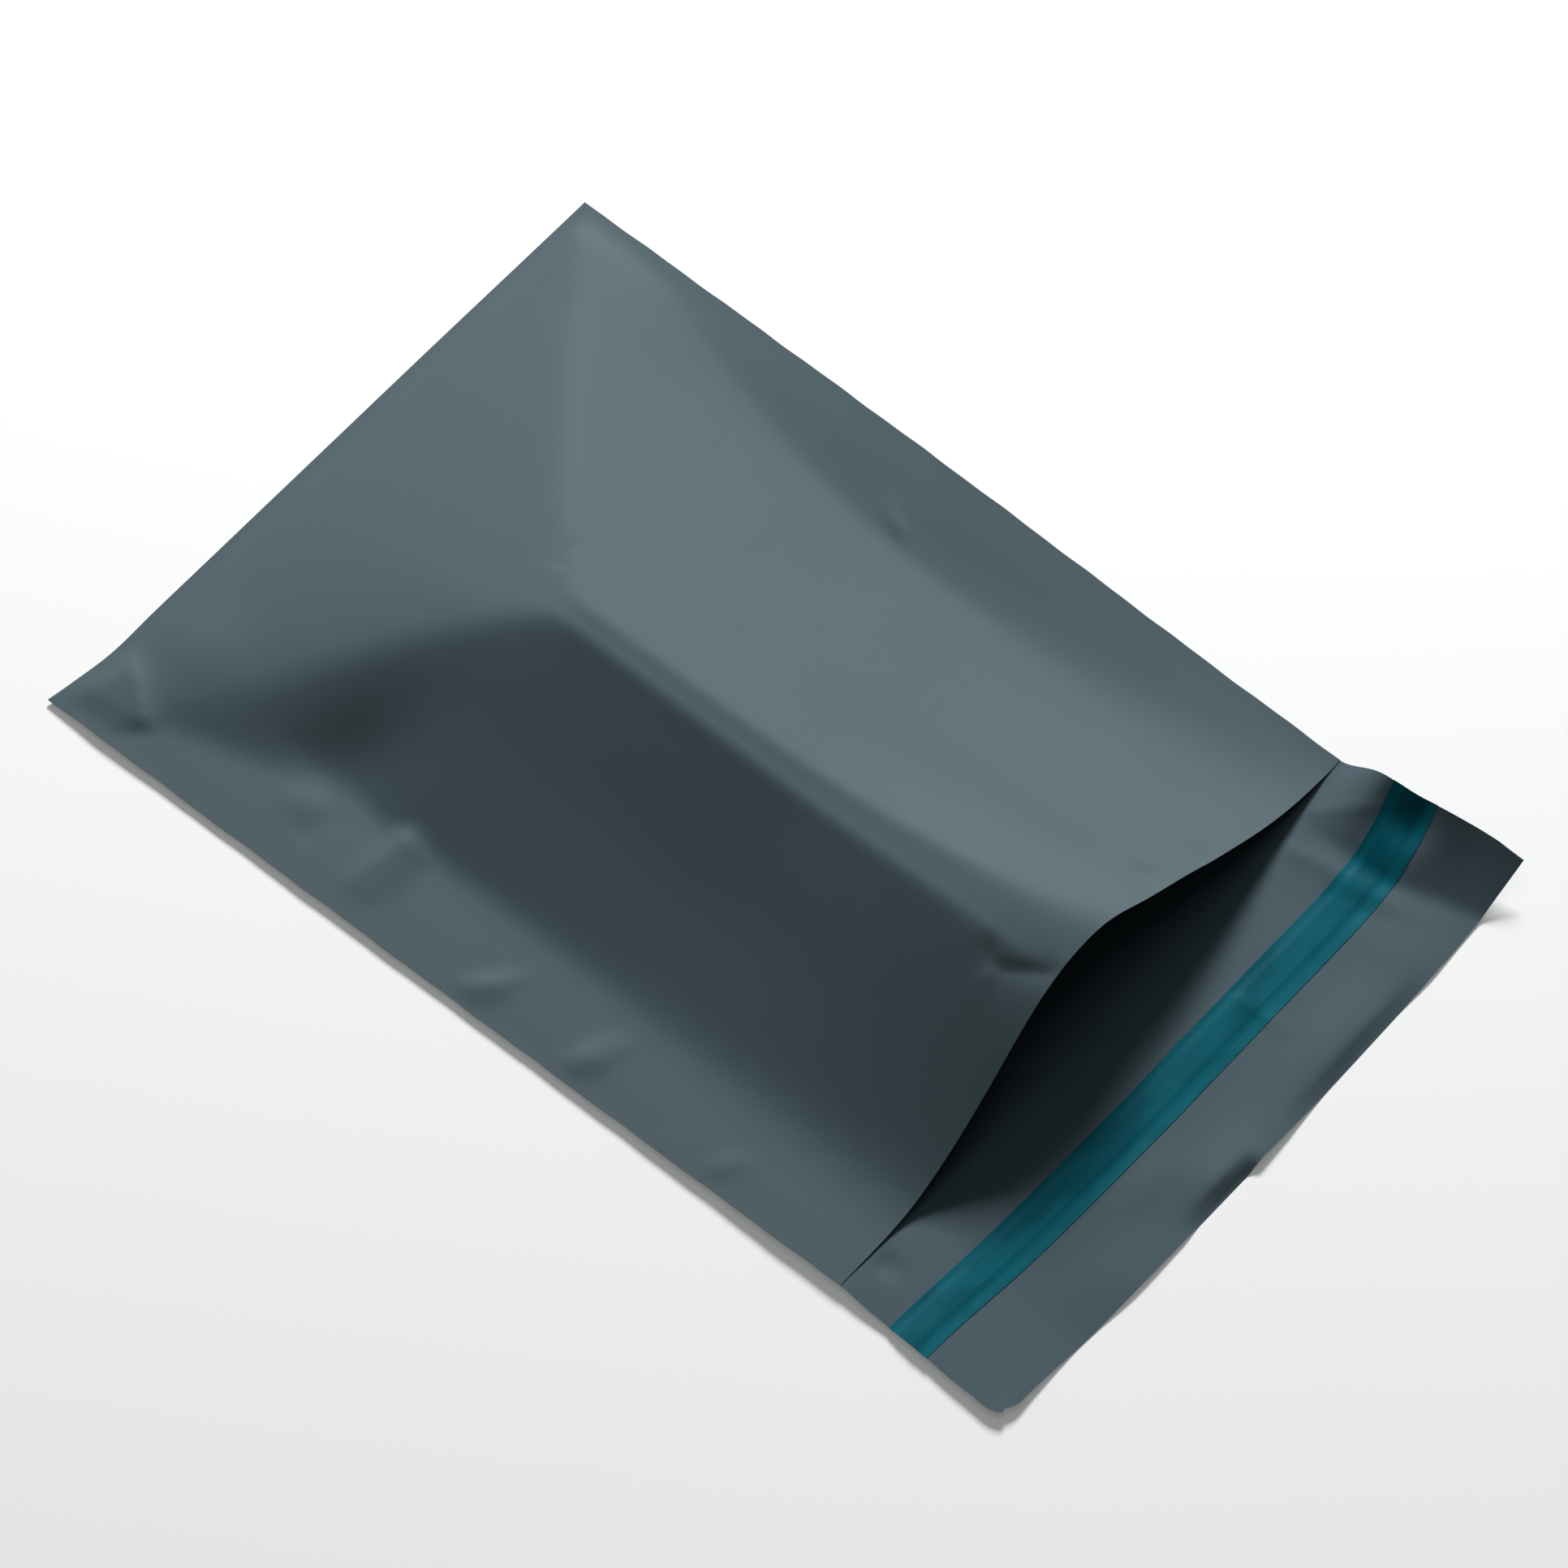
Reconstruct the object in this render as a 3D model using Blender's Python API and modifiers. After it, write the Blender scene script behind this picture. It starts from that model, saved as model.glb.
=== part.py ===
"""An open poly mailer, lying on a table with its bottom fold away from the viewer and its lip unfolded.

Metres, +Z up. X runs across the bag and +Y from the mouth to the bottom fold, and the origin is the middle
of the bag's footprint on the table. The bag is one web of film, folded once and welded along both sides.
The empty bag has sprung open a little: its front panel stands up like a hip roof, from the fold to an
arched mouth, while its back panel lies on the table and runs on past the mouth as the sealing lip.
"""

import math
from dataclasses import dataclass

import bmesh
import bpy
from mathutils import Vector

MM = 0.001

# The bag as it is cut: the web is twice the body's length plus the lip
BAG_WIDTH = 250 * MM
BODY_LENGTH = 316 * MM
LIP_LENGTH = 65.5 * MM
FILM_THICKNESS = 0.08 * MM
SEAM_GAP = 0.3 * MM

# The pocket as it stands open
RIDGE_HEIGHT = 30 * MM
MOUTH_HEIGHT = 37 * MM
MOUTH_RISE_SHARE = 0.25
CREST_LEAN = 0.08
FOLD_END_SLOPE = 0.27
CORNER_EAR = 40 * MM
CORNER_EAR_SLOPE = 0.10
CORNER_EAR_BEND = 0.39 / (1000 * MM)
HIP_SOFTNESS = 0.9 * MM
TOUCH_SOFTNESS = 0.3 * MM
SEAM_CLOSING = 13 * MM
FOLD_CLOSING = 8 * MM
MOUTH_DRAW_IN = 6.4 * MM
MOUTH_SET_BACK = 8 * MM
MOUTH_SET_BACK_REACH = 55 * MM
MOUTH_ARCH_SHARE = 0.45

# The lip: its right end turns up off the table, sharply at a knee and then more and more
LIP_SPREAD = 2.6 * MM
CURL_WIDTH = 35 * MM
CURL_KNEE = 5 * MM
CURL_KNEE_ANGLE = math.radians(20)
CURL_END_ANGLE = math.radians(40)
CURL_RUN_IN = 38 * MM
CURL_STEPS = 12
SEAM_LIFT_WIDTH = 26 * MM

# The sealing strip: a bead of hot-melt adhesive under a peel-off liner
LINER_FROM_MOUTH = 20 * MM
LINER_WIDTH = 15.5 * MM
LINER_THICKNESS = 0.06 * MM
LINER_BOW = 6 * MM
BEAD_WIDTH = 7 * MM
BEAD_FROM_LINER_EDGE = 3.4 * MM
BEAD_THICKNESS = 0.15 * MM
BEAD_END_MARGIN = 4 * MM
STRIP_CLEARANCE = 0.3 * MM
SQUARE_STEP = 0.5 * MM

# The lattice that the film is shaped on
COLUMNS = 44
BODY_ROWS = 40
LIP_ROWS = 12

# What the crumpled film does along the bag. Each row starts with a share of the body's length, 0 at the
# mouth and 1 at the fold. Creases and feet are shares of half the bag's width across, and softnesses are
# in millimetres of height. The left foot steps in round the bump near the fold.
LEFT_CREASE = ((0.0, -0.12), (0.1, -0.10), (0.3, -0.095), (0.68, -0.095), (1.0, -0.095))
RIGHT_CREASE = ((0.0, 0.10), (0.1, 0.04), (0.25, 0.0), (0.4, -0.02), (0.68, -0.03), (1.0, -0.03))
LEFT_FOOT = ((0.0, -0.60), (0.15, -0.63), (0.27, -0.66), (0.40, -0.695), (0.55, -0.71), (0.635, -0.715),
             (0.675, -0.635), (0.70, -0.615), (0.757, -0.66), (0.83, -0.77), (0.908, -0.877), (1.0, -1.0))
RIGHT_FOOT = ((0.0, 0.90), (0.12, 0.84), (0.22, 0.78), (0.32, 0.72), (0.42, 0.705), (0.51, 0.72),
              (0.64, 0.767), (0.76, 0.843), (0.87, 0.966), (1.0, 1.1))
CREASE_SOFTNESS = ((0.0, 2.2), (0.12, 0.8), (0.3, 0.35), (0.68, 0.3), (1.0, 0.5))
FOOT_SOFTNESS = ((0.0, 3.0), (0.2, 1.6), (0.45, 0.8), (0.7, 0.7), (1.0, 0.8))

# How far the side seams stand off the table, in millimetres, by the same share of the body's length. On
# the lip the share runs on below 0, to -1 at its free edge.
LEFT_SEAM = ((-1.0, 6.5), (-0.8, 4.6), (-0.5, 3.4), (-0.3, 2.0), (0.0, 3.3), (0.2, 2.5), (0.45, 1.6),
             (0.65, 2.1), (0.8, 1.8), (0.87, 2.6), (0.93, 3.0), (1.0, 2.0))
RIGHT_SEAM = ((-1.0, 1.6), (0.0, 2.0), (0.16, 2.6), (0.28, 4.6), (0.46, 4.4), (0.6, 3.4), (0.8, 1.8), (1.0, 0.2))


@dataclass(frozen=True)
class Dimple:
    """A soft bump (height above 0) or dent (below 0): its place, its reach each way and its turn."""

    across: float
    along: float
    reach_across: float
    reach_along: float
    turn: float
    height: float

    def lift(self, x, y_from_mouth, length):
        """Its height at a point, for a panel of this length."""
        dx = x - self.across * BAG_WIDTH / 2
        dy = y_from_mouth - self.along * length
        c, s = math.cos(math.radians(self.turn)), math.sin(math.radians(self.turn))
        a = (c * dx + s * dy) / self.reach_across
        b = (-s * dx + c * dy) / self.reach_along
        return self.height * math.exp(-(a * a + b * b))


# Places are shares of half the width and of the body's length; reaches and heights are sizes
FRONT_DIMPLES = {
    "buckle in the right slope": Dimple(0.69, 0.465, 8 * MM, 15 * MM, -18, -2.6 * MM),
    "lip of that buckle": Dimple(0.57, 0.50, 9 * MM, 16 * MM, -30, 1.2 * MM),
    "dent beside the hip point": Dimple(0.05, 0.69, 9 * MM, 11 * MM, 0, -1.0 * MM),
    "crease across the left corner": Dimple(-0.83, 0.94, 4.5 * MM, 15 * MM, -38, 1.8 * MM),
    "left bump": Dimple(-0.72, 0.72, 9 * MM, 14 * MM, 25, 2.4 * MM),
    "pit below the left bump": Dimple(-0.84, 0.69, 6 * MM, 8 * MM, 35, -1.6 * MM),
    "second left bump": Dimple(-0.80, 0.655, 9 * MM, 6 * MM, 20, 1.8 * MM),
    "left edge pucker": Dimple(-0.86, 0.45, 8 * MM, 7 * MM, 0, 1.2 * MM),
    "lower left edge pucker": Dimple(-0.88, 0.32, 8 * MM, 7 * MM, 0, 1.0 * MM),
    "crease at the mouth": Dimple(-0.12, 0.06, 4 * MM, 13 * MM, 10, -1.6 * MM),
}
# Here the second share is of the lip's length, 0 at the mouth and -1 at the free edge
LIP_WAVES = {
    "middle wave": Dimple(-0.14, -1.0, 15 * MM, 22 * MM, 0, 6.5 * MM),
    "left wave": Dimple(-0.46, -1.0, 20 * MM, 20 * MM, 0, 3.4 * MM),
    "swell inside the rolled edge": Dimple(0.36, -0.80, 30 * MM, 10 * MM, 0, 2.4 * MM),
    "right roll": Dimple(0.62, -0.78, 14 * MM, 14 * MM, 0, 1.2 * MM),
}


def run_along(stations, share):
    """The smooth curve through (share, value) stations, read at a share, and held at its ends."""
    if share <= stations[0][0]:
        return stations[0][1]
    if share >= stations[-1][0]:
        return stations[-1][1]
    last = len(stations) - 1
    i = next(k for k in range(last) if share <= stations[k + 1][0])
    (s0, v0), (s1, v1) = stations[i], stations[i + 1]

    def slope(k):
        """The curve's slope at station k, from its neighbours."""
        a, b = stations[max(k - 1, 0)], stations[min(k + 1, last)]
        return (b[1] - a[1]) / (b[0] - a[0])

    span = s1 - s0
    t = (share - s0) / span
    return (
        v0 * (1 + 2 * t) * (1 - t) ** 2
        + v1 * t * t * (3 - 2 * t)
        + slope(i) * span * t * (1 - t) ** 2
        - slope(i + 1) * span * t * t * (1 - t)
    )


def ease(t):
    """0 below 0, 1 above 1, and a smooth step between."""
    t = min(max(t, 0.0), 1.0)
    return t * t * (3 - 2 * t)


def lowest(heights, softness):
    """The lowest of some heights, with the creases between them rounded."""
    floor = min(heights)
    return floor - softness * math.log(sum(math.exp((floor - h) / softness) for h in heights))


def above_ground(height, softness):
    """A height, or 0 where it is below the ground, with the foot between them rounded."""
    return -lowest((0.0, -height), softness)


def half_width(along):
    """From the middle to the side seam, at a distance from the mouth: the arched mouth draws the sides in."""
    if along >= 0:
        return BAG_WIDTH / 2 - MOUTH_DRAW_IN * (1 - along / BODY_LENGTH)
    return BAG_WIDTH / 2 - MOUTH_DRAW_IN - LIP_SPREAD * along / LIP_LENGTH


def seam_lift(u, along):
    """How far the back film stands off the table because its side seam does."""
    share = along / BODY_LENGTH if along >= 0 else along / LIP_LENGTH
    height = run_along(LEFT_SEAM if u < 0 else RIGHT_SEAM, share) * MM
    inward = (1 - abs(u)) * half_width(along)
    return height * ease(1 - inward / SEAM_LIFT_WIDTH)


def ear_distance(x, along):
    """How far inside the bag's left fold corner a point is, measured round the corner."""
    return x + BAG_WIDTH / 2 + BODY_LENGTH - along


def curl(into, grown):
    """How far across and up the lip's film runs in this much of its turned-up end."""
    across = up = 0.0
    step = into / CURL_STEPS
    for k in range(CURL_STEPS):
        run = (k + 0.5) * step
        angle = CURL_KNEE_ANGLE * ease(run / CURL_KNEE)
        angle += (CURL_END_ANGLE - CURL_KNEE_ANGLE) * run / CURL_WIDTH
        across += step * math.cos(angle * grown)
        up += step * math.sin(angle * grown)
    return across, up


def back_point(u, along):
    """A point on the inner face of the back panel."""
    x = u * half_width(along)
    return x, along, FILM_THICKNESS + seam_lift(u, along)


def lip_point(u, along):
    """A point on the upper face of the lip, which curls up at its right end."""
    grown = ease(-along / CURL_RUN_IN)
    right = BAG_WIDTH / 2 - MOUTH_DRAW_IN * (1 - grown)
    half = right if u > 0 else half_width(along)
    x = u * half
    z = FILM_THICKNESS + seam_lift(u, along)
    z += -along / LIP_LENGTH * sum(wave.lift(x, along, LIP_LENGTH) for wave in LIP_WAVES.values())
    into_curl = x - (right - CURL_WIDTH)
    if into_curl > 0:
        across, up = curl(into_curl, grown)
        x += across - into_curl
        z += up
    return x, along, z


def roof_height(x, along):
    """How far the front film stands above the back film: two slopes, a nearly flat crest, and a hip."""
    share = along / BODY_LENGTH
    foot, crease, far_crease, far_foot = (
        run_along(stations, share) * BAG_WIDTH / 2 for stations in (LEFT_FOOT, LEFT_CREASE, RIGHT_CREASE, RIGHT_FOOT)
    )
    top = RIDGE_HEIGHT + (MOUTH_HEIGHT - RIDGE_HEIGHT) * (1 - ease(share / MOUTH_RISE_SHARE))
    crest = top + CREST_LEAN * (x - far_crease)
    near = (top - CREST_LEAN * (far_crease - crease)) * (x - foot) / (crease - foot)
    far = top * (far_foot - x) / (far_foot - far_crease)
    section = lowest((near, crest, far), run_along(CREASE_SOFTNESS, share) * MM)
    hip = FOLD_END_SLOPE * (BODY_LENGTH - along)
    past_ear = ear_distance(x, along) - CORNER_EAR
    ear = CORNER_EAR_SLOPE * past_ear + CORNER_EAR_BEND * past_ear * abs(past_ear)
    return above_ground(lowest((section, hip, ear), HIP_SOFTNESS), run_along(FOOT_SOFTNESS, share) * MM)


def front_point(u, along):
    """A point on the inner face of the front panel."""
    x, _, back = back_point(u, along)
    roof = roof_height(x, along)
    roof += sum(d.lift(x, along, BODY_LENGTH) for d in FRONT_DIMPLES.values())
    # The film closes onto the seam at the sides and onto the fold at the end
    inward = (1 - abs(u)) * half_width(along)
    closing = ease(inward / SEAM_CLOSING) * ease((BODY_LENGTH - along) / FOLD_CLOSING)
    gap = SEAM_GAP + closing * above_ground(roof, TOUCH_SOFTNESS)
    arch = math.exp(-((u / MOUTH_ARCH_SHARE) ** 2)) * math.exp(-along / MOUTH_SET_BACK_REACH)
    set_back = MOUTH_SET_BACK * arch * (1 - along / BODY_LENGTH)
    return x, along + set_back, back + gap


def web_point(column, row):
    """A point of the folded web, counted in columns across and rows along it from the lip's free edge."""
    u = 2 * column / COLUMNS - 1
    if row < LIP_ROWS:
        x, y, z = lip_point(u, LIP_LENGTH * (row / LIP_ROWS - 1))
    elif row <= LIP_ROWS + BODY_ROWS:
        x, y, z = back_point(u, BODY_LENGTH * (row - LIP_ROWS) / BODY_ROWS)
    else:
        x, y, z = front_point(u, BODY_LENGTH * (LIP_ROWS + 2 * BODY_ROWS + 1 - row) / BODY_ROWS)
    return x, y - (BODY_LENGTH - LIP_LENGTH) / 2, z


def make_object(name, bm, thickness, offset, material, collection):
    """An object of this mesh, with its film given a thickness."""
    mesh = bpy.data.meshes.new(name)
    bm.to_mesh(mesh)
    bm.free()
    mesh.shade_smooth()
    mesh.materials.append(material)
    obj = bpy.data.objects.new(name, mesh)
    collection.objects.link(obj)
    solidify = obj.modifiers.new("film thickness", "SOLIDIFY")
    solidify.thickness = thickness
    solidify.offset = offset
    return obj


def make_material(name, color, roughness):
    """A plain plastic finish."""
    material = bpy.data.materials.new(name)
    material.use_nodes = True
    shader = material.node_tree.nodes["Principled BSDF"]
    shader.inputs["Base Color"].default_value = (*color, 1.0)
    shader.inputs["Roughness"].default_value = roughness
    shader.inputs["Metallic"].default_value = 0.0
    return material


def make_bag(collection):
    """The bag: a flat web of film, folded over at the bottom and welded along both sides."""
    bm = bmesh.new()
    rows = LIP_ROWS + 2 * BODY_ROWS + 1
    bmesh.ops.create_grid(bm, x_segments=COLUMNS, y_segments=rows, size=0.5)
    place = {}
    for vert in bm.verts:
        column = round((vert.co.x + 0.5) * COLUMNS)
        row = round((vert.co.y + 0.5) * rows)
        place[column, row] = vert
    for (column, row), vert in place.items():
        vert.co = web_point(column, row)
    mouth, fold = LIP_ROWS, LIP_ROWS + BODY_ROWS
    for column in (0, COLUMNS):
        back = [bm.edges.get((place[column, r], place[column, r + 1])) for r in range(mouth, fold)]
        front = [bm.edges.get((place[column, r], place[column, r + 1])) for r in range(fold + 1, rows)]
        bmesh.ops.bridge_loops(bm, edges=back + front)
    bmesh.ops.recalc_face_normals(bm, faces=bm.faces)
    bm.normal_update()
    lip_corner = place[0, 0].link_faces[0]
    if lip_corner.normal.z > 0:
        bmesh.ops.reverse_faces(bm, faces=bm.faces)
    film = make_material("grey film", (0.12, 0.16, 0.18), 0.42)
    return make_object("bag", bm, FILM_THICKNESS, 1.0, film, collection)


def above_lip(u, along, height):
    """A point this far above the lip's film, measured square to it."""
    here = Vector(lip_point(u, along))
    aside = SQUARE_STEP / BAG_WIDTH
    across = Vector(lip_point(u + aside, along)) - Vector(lip_point(u - aside, along))
    up_the_lip = Vector(lip_point(u, along + SQUARE_STEP)) - Vector(lip_point(u, along - SQUARE_STEP))
    return here + across.cross(up_the_lip).normalized() * height


def strip_on_lip(edges, half_span, height):
    """A strip across the lip, as an open sheet. Its rows run at these distances from the liner's inner edge."""
    bm = bmesh.new()
    rows = len(edges) - 1
    bmesh.ops.create_grid(bm, x_segments=COLUMNS, y_segments=rows, size=0.5)
    for vert in bm.verts:
        u = min(max(2 * vert.co.x, -half_span), half_span)
        bow = LINER_BOW * (1 - u * u)
        from_edge = edges[round((0.5 - vert.co.y) * rows)]
        point = above_lip(u, -(LINER_FROM_MOUTH + bow + from_edge), height)
        vert.co = (point.x, point.y - (BODY_LENGTH - LIP_LENGTH) / 2, point.z)
    bm.normal_update()
    return bm


def make_adhesive_strip(collection):
    """The hot-melt bead, which stops short of the lip's side edges."""
    span = 1 - 2 * BEAD_END_MARGIN / BAG_WIDTH
    edges = (BEAD_FROM_LINER_EDGE, BEAD_FROM_LINER_EDGE + BEAD_WIDTH)
    bm = strip_on_lip(edges, span, STRIP_CLEARANCE)
    glue = make_material("hot-melt adhesive", (0.55, 0.50, 0.38), 0.25)
    return make_object("adhesive_strip", bm, BEAD_THICKNESS, 1.0, glue, collection)


def make_release_liner(collection):
    """The peel-off liner, across the full width of the lip."""
    edges = (0.0, BEAD_FROM_LINER_EDGE, BEAD_FROM_LINER_EDGE + BEAD_WIDTH, LINER_WIDTH)
    bm = strip_on_lip(edges, 1.0, 2 * STRIP_CLEARANCE + BEAD_THICKNESS)
    teal = make_material("teal liner", (0.01, 0.11, 0.13), 0.3)
    return make_object("release_liner", bm, LINER_THICKNESS, 1.0, teal, collection)


def main():
    """Clears the scene and models the mailer in a collection of its own."""
    for obj in list(bpy.data.objects):
        bpy.data.objects.remove(obj, do_unlink=True)
    collection = bpy.data.collections.new("poly_mailer")
    bpy.context.scene.collection.children.link(collection)
    make_bag(collection)
    make_adhesive_strip(collection)
    make_release_liner(collection)


main()
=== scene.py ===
"""The looks of an open grey poly mailer that lies on a white table with its lip unfolded.

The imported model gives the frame. The bag's film, its adhesive bead and its peel-off liner are modelled again
here on a finer lattice, from the same driving sizes, with the creases and buckles that handled film shows.
Lengths are in metres and +Z is up, but the courses and marks of the film hold millimetres. X runs across the
bag and +Y from the mouth to the bottom fold.
"""

from __future__ import annotations

import logging
import math
from dataclasses import dataclass, field
from enum import Enum
from typing import Callable, Protocol

import bmesh
import bpy
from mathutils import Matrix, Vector

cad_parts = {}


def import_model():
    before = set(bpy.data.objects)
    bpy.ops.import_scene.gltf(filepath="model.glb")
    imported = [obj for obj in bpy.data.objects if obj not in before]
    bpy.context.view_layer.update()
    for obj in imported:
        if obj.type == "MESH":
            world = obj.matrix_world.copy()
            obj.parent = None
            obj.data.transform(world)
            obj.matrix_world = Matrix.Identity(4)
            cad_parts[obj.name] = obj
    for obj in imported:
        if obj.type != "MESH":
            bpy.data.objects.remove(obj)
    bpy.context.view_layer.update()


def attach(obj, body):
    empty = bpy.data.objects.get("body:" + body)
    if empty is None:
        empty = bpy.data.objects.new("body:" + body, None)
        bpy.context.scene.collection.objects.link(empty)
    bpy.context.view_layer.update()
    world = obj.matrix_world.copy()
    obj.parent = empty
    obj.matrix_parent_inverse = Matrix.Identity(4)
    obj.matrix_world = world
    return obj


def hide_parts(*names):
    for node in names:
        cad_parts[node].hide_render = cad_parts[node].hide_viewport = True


LOG = logging.getLogger("poly_mailer")
MM = 0.001
SHARP_EDGE = math.radians(50)

Station = tuple[float, float]
Color = tuple[float, float, float]


class Panel(Enum):
    """The three stretches of the film web, in the order in which it runs from its free edge."""

    LIP = "lip"
    BACK = "back"
    FRONT = "front"


def ease(t: float) -> float:
    """Gives 0 below 0, 1 above 1, and a smooth step between."""
    t = min(max(t, 0.0), 1.0)
    return t * t * (3 - 2 * t)


def lowest(heights: tuple[float, ...], softness: float) -> float:
    """Gives the lowest of some heights, with the creases between them rounded.

    Args:
        heights: The heights to choose among.
        softness: How wide the rounding is, as a height.

    Returns:
        The rounded lowest height, which is a little under the true one near a crease.
    """
    floor = min(heights)
    return floor - softness * math.log(sum(math.exp((floor - h) / softness) for h in heights))


def above_ground(height: float, softness: float) -> float:
    """Gives a height, or 0 where it is below the ground, with the foot between them rounded."""
    return -lowest((0.0, -height), softness)


@dataclass(frozen=True)
class Course:
    """A value that changes smoothly along or across the bag, through stations of (place, value)."""

    stations: tuple[Station, ...]

    def at(self, place: float) -> float:
        """Reads the smooth curve through the stations.

        Args:
            place: The place, measured as the stations' places are.

        Returns:
            The value there, held at the first and last stations' values beyond them.
        """
        stations = self.stations
        if place <= stations[0][0]:
            return stations[0][1]
        if place >= stations[-1][0]:
            return stations[-1][1]
        i = next(k for k in range(len(stations) - 1) if place <= stations[k + 1][0])
        (s0, v0), (s1, v1) = stations[i], stations[i + 1]
        span = s1 - s0
        t = (place - s0) / span
        value = v0 * (1 + 2 * t) * (1 - t) ** 2 + v1 * t * t * (3 - 2 * t)
        return value + span * t * (1 - t) * (self._slope(i) * (1 - t) - self._slope(i + 1) * t)

    def _slope(self, k: int) -> float:
        """Gives the curve's slope at a station, from its neighbours.

        Args:
            k: The station's number.

        Returns:
            The slope.
        """
        last = len(self.stations) - 1
        a, b = self.stations[max(k - 1, 0)], self.stations[min(k + 1, last)]
        return (b[1] - a[1]) / (b[0] - a[0])


class Mark(Protocol):
    """Anything that lifts or lowers a panel near one place. Marks hold and give millimetres."""

    def lift(self, x: float, along: float) -> float:
        """Gives the height to add at a point of the panel."""


def lifted(marks: dict[str, Mark], x: float, along: float) -> float:
    """Adds up what all the marks of a panel do at one point.

    Args:
        marks: The marks.
        x: The point's place across the bag.
        along: Its distance from the mouth line.

    Returns:
        The height to add there, in metres as the place is.
    """
    return MM * sum(mark.lift(x / MM, along / MM) for mark in marks.values())


@dataclass(frozen=True)
class Dimple:
    """A soft bump, or a dent if its height is negative. A lean makes its left flank the steep one."""

    across: float
    along: float
    reach_across: float
    reach_along: float
    turn: float
    height: float
    lean: float = 0.0

    def lift(self, x: float, along: float) -> float:
        """Gives the dimple's height at a point of its panel.

        Args:
            x: The point's place across the bag.
            along: Its distance from the mouth line.

        Returns:
            The height to add there.
        """
        dx, dy = x - self.across, along - self.along
        c, s = math.cos(math.radians(self.turn)), math.sin(math.radians(self.turn))
        a, b = c * dx + s * dy, (-s * dx + c * dy) / self.reach_along
        a /= self.reach_across * (1 + self.lean * math.tanh(4 * a / self.reach_across))
        return self.height * math.exp(-(a * a + b * b))


@dataclass(frozen=True)
class Crease:
    """A fold line that fades in from its start and ends sharply, with its own reach on either side."""

    start: tuple[float, float]
    end: tuple[float, float]
    height: float
    left_reach: float
    right_reach: float
    fade_in: float = 0.6
    fade_out: float = 0.15

    def lift(self, x: float, along: float) -> float:
        """Gives the crease's height at a point of its panel.

        Args:
            x: The point's place across the bag.
            along: Its distance from the mouth line.

        Returns:
            The height to add there.
        """
        (ax, ay), (bx, by) = self.start, self.end
        run = math.hypot(bx - ax, by - ay)
        tx, ty = (bx - ax) / run, (by - ay) / run
        t = ((x - ax) * tx + (along - ay) * ty) / run
        off = -(x - ax) * ty + (along - ay) * tx
        reach = self.left_reach if off > 0 else self.right_reach
        fade = ease(t / self.fade_in) * ease((1 + self.fade_out - t) / (2 * self.fade_out))
        return self.height * fade * math.exp(-abs(off) / reach) if fade > 0 else 0.0


@dataclass(frozen=True)
class Peak:
    """A faceted lump of crumpled film: a pyramid over corners that stand round its summit."""

    summit: tuple[float, float]
    corners: tuple[tuple[float, float], ...]
    height: float
    softness: float

    def lift(self, x: float, along: float) -> float:
        """Gives the peak's height at a point of its panel, softened over a small cross of spots.

        The spot in the middle of the cross counts twice.

        Args:
            x: The point's place across the bag.
            along: Its distance from the mouth line.

        Returns:
            The height to add there.
        """
        reach = max(math.dist(self.summit, corner) for corner in self.corners)
        if math.dist(self.summit, (x, along)) > reach + self.softness:
            return 0.0
        s = self.softness
        spots = ((0.0, 0.0), (0.0, 0.0), (s, 0.0), (-s, 0.0), (0.0, s), (0.0, -s))
        return self.height * sum(self._share(x + dx, along + dy) for dx, dy in spots) / len(spots)

    def _share(self, x: float, along: float) -> float:
        """Gives the sharp pyramid's height at a point.

        Args:
            x: The point's place across the bag.
            along: Its distance from the mouth line.

        Returns:
            The height, as a share of the summit's.
        """
        px, py = x - self.summit[0], along - self.summit[1]
        for a, b in zip(self.corners, self.corners[1:] + self.corners[:1]):
            ax, ay = a[0] - self.summit[0], a[1] - self.summit[1]
            bx, by = b[0] - self.summit[0], b[1] - self.summit[1]
            area = ax * by - ay * bx
            toward_a, toward_b = (px * by - py * bx) / area, (ax * py - ay * px) / area
            if toward_a >= 0 and toward_b >= 0:
                return max(1 - toward_a - toward_b, 0.0)
        return 0.0


@dataclass(frozen=True)
class Buckle:
    """A pointed buckle: a cone-shaped fold that starts at a sharp tip and spreads out one way."""

    # The film is flat again past so many reaches from the tip.
    END = 3.0

    tip: tuple[float, float]
    heading: float
    spread: float
    reach: float
    height: float

    def lift(self, x: float, along: float) -> float:
        """Gives the buckle's height at a point of its panel.

        Args:
            x: The point's place across the bag.
            along: Its distance from the mouth line.

        Returns:
            The height to add there.
        """
        dx, dy = x - self.tip[0], along - self.tip[1]
        far = math.hypot(dx, dy) / self.reach
        if far > self.END or far == 0:
            return 0.0
        off = (math.degrees(math.atan2(dy, dx)) - self.heading + 180) % 360 - 180
        return self.height * far * math.exp(0.5 - far * far / 2 - (off / self.spread) ** 2)


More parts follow.
